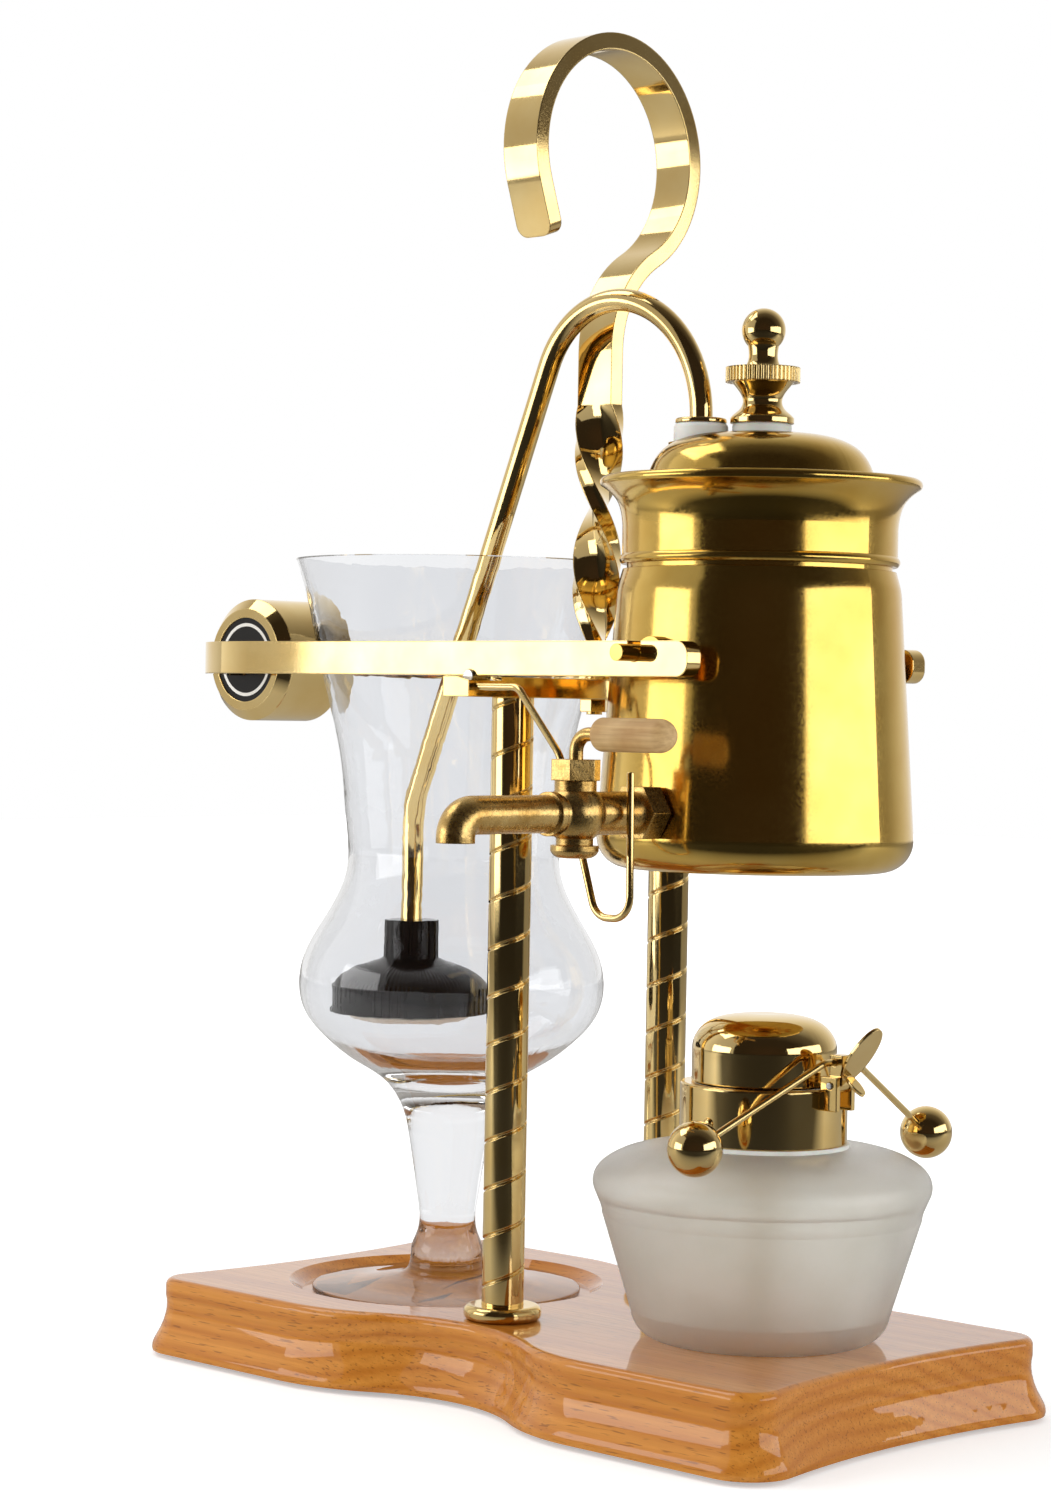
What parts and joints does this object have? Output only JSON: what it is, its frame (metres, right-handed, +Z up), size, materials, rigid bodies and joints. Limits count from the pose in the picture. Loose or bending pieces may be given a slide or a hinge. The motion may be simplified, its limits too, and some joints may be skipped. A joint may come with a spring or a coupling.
{
  "type": "balance siphon coffee maker",
  "caption": "Balance siphon coffee maker: kettle with tap and counterweight on a tilting beam, bent siphon tube into a stemmed glass, spirit lamp with hinged snuffer, wooden base.",
  "frame": {"origin": "middle of the base in plan, on the surface that its feet stand on", "axes": "+X towards the kettle and lamp, -Y towards the tap side, +Z up"},
  "size_m": [0.3009, 0.2053, 0.4233],
  "materials": {
    "lacquered_wood": "glossy lacquer",
    "black_rubber": "matte",
    "gold_plated_brass": "mirror polished, gold plated",
    "polished_kettle_brass": "mirror polished",
    "cast_tap_brass": "cast and lightly polished",
    "steel": "plain turned",
    "black_disc": "matte with a plain pale ring",
    "white_silicone": "satin",
    "brown_filter_plastic": "satin",
    "white_filter_cloth": "woven cotton",
    "clear_glass": "clear",
    "frosted_glass": "frosted",
    "pale_wood": "raw, fine sanded",
    "cotton_wick": "plaited cotton"
  },
  "bodies": {
    "stand": {"base_board": "lacquered_wood", "base_feet": "black_rubber", "front_post": "gold_plated_brass", "rear_post": "gold_plated_brass", "post_foot_rings": "gold_plated_brass", "post_bolts": "steel", "crossbar": "gold_plated_brass", "crossbar_screws": "steel", "pivot_pins": "steel", "hook_handle": "gold_plated_brass", "handle_nut": "gold_plated_brass"},
    "beam": {"balance_beam": "gold_plated_brass", "counterweight": "gold_plated_brass", "counterweight_discs": "black_disc", "counterweight_screw": "steel"},
    "kettle": {"kettle_body": "polished_kettle_brass", "kettle_collar": "polished_kettle_brass", "kettle_lid": "polished_kettle_brass", "kettle_trunnions": "polished_kettle_brass", "tap_nut": "cast_tap_brass", "tap_back_nut": "cast_tap_brass", "tap_body": "cast_tap_brass", "tap_gland": "cast_tap_brass", "tap_bottom_cap": "cast_tap_brass"},
    "siphon": {"stopper": "white_silicone", "stopper_washer": "gold_plated_brass", "siphon_tube": "gold_plated_brass", "filter_nut": "brown_filter_plastic", "filter_top": "brown_filter_plastic", "filter_base": "brown_filter_plastic", "filter_cloth": "white_filter_cloth"},
    "tap_handle": {"tap_plug": "cast_tap_brass", "tap_lever": "cast_tap_brass", "tap_grip": "pale_wood"},
    "filler_seal": {"filler_gasket": "white_silicone"},
    "filler_cap": {"filler_cap": "polished_kettle_brass"},
    "latch": {"latch_hook": "gold_plated_brass"},
    "glass": {"goblet": "clear_glass"},
    "lamp": {"lamp_bottle": "frosted_glass", "lamp_neck_ring": "white_silicone", "lamp_collar": "gold_plated_brass", "collar_rivets": "gold_plated_brass", "wick_tube": "cast_tap_brass", "wick": "cotton_wick", "hinge_bracket": "gold_plated_brass", "hinge_pin": "steel"},
    "snuffer": {"snuffer_cap": "gold_plated_brass", "snuffer_arm": "gold_plated_brass", "weight_rod": "gold_plated_brass", "weight_balls": "gold_plated_brass", "thumb_leaf": "gold_plated_brass"}
  },
  "joints": [
    {"name": "beam_tilt", "type": "hinge", "parent": "stand", "child": "beam", "pos_m": [0, 0, 0.2218], "axis": [0, 1, 0], "range_deg": [0, 5]},
    {"name": "kettle_hang", "type": "hinge", "parent": "beam", "child": "kettle", "pos_m": [0.0665, 0, 0.229], "axis": [0, 1, 0], "range_deg": [-5, 0]},
    {"name": "siphon_lift", "type": "slide", "parent": "kettle", "child": "siphon", "axis": [0, 0, 1], "range_m": [0, 0.008]},
    {"name": "tap_turn", "type": "hinge", "parent": "kettle", "child": "tap_handle", "pos_m": [0.0665, -0.079, 0.183], "axis": [0, 0, 1], "range_deg": [-90, 0]},
    {"name": "filler_rise", "type": "slide", "parent": "kettle", "child": "filler_seal", "axis": [0, 0, 1], "range_m": [0, 0.006]},
    {"name": "filler_turn", "type": "hinge", "parent": "filler_seal", "child": "filler_cap", "pos_m": [0.0665, 0, 0.302], "axis": [0, 0, 1], "range_deg": [0, 1440]},
    {"name": "latch_swing", "type": "hinge", "parent": "stand", "child": "latch", "pos_m": [0, -0.0585, 0.2187], "axis": [1, 0, 0], "range_deg": [-6, 8]},
    {"name": "glass_turn", "type": "hinge", "parent": "stand", "child": "glass", "pos_m": [-0.0614, 0, 0.0223], "axis": [0, 0, 1], "continuous": true},
    {"name": "lamp_slide", "type": "slide", "parent": "stand", "child": "lamp", "axis": [1, 0, 0], "range_m": [0, 0.045]},
    {"name": "snuffer_flip", "type": "hinge", "parent": "lamp", "child": "snuffer", "pos_m": [0.1006, 0, 0.1034], "axis": [0, 1, 0], "range_deg": [0, 70]}
  ],
  "couplings": [
    {"joint": "kettle_hang", "follows": "beam_tilt", "ratio": -1},
    {"joint": "filler_turn", "follows": "filler_rise", "rad_per_m": 4188}
  ]
}
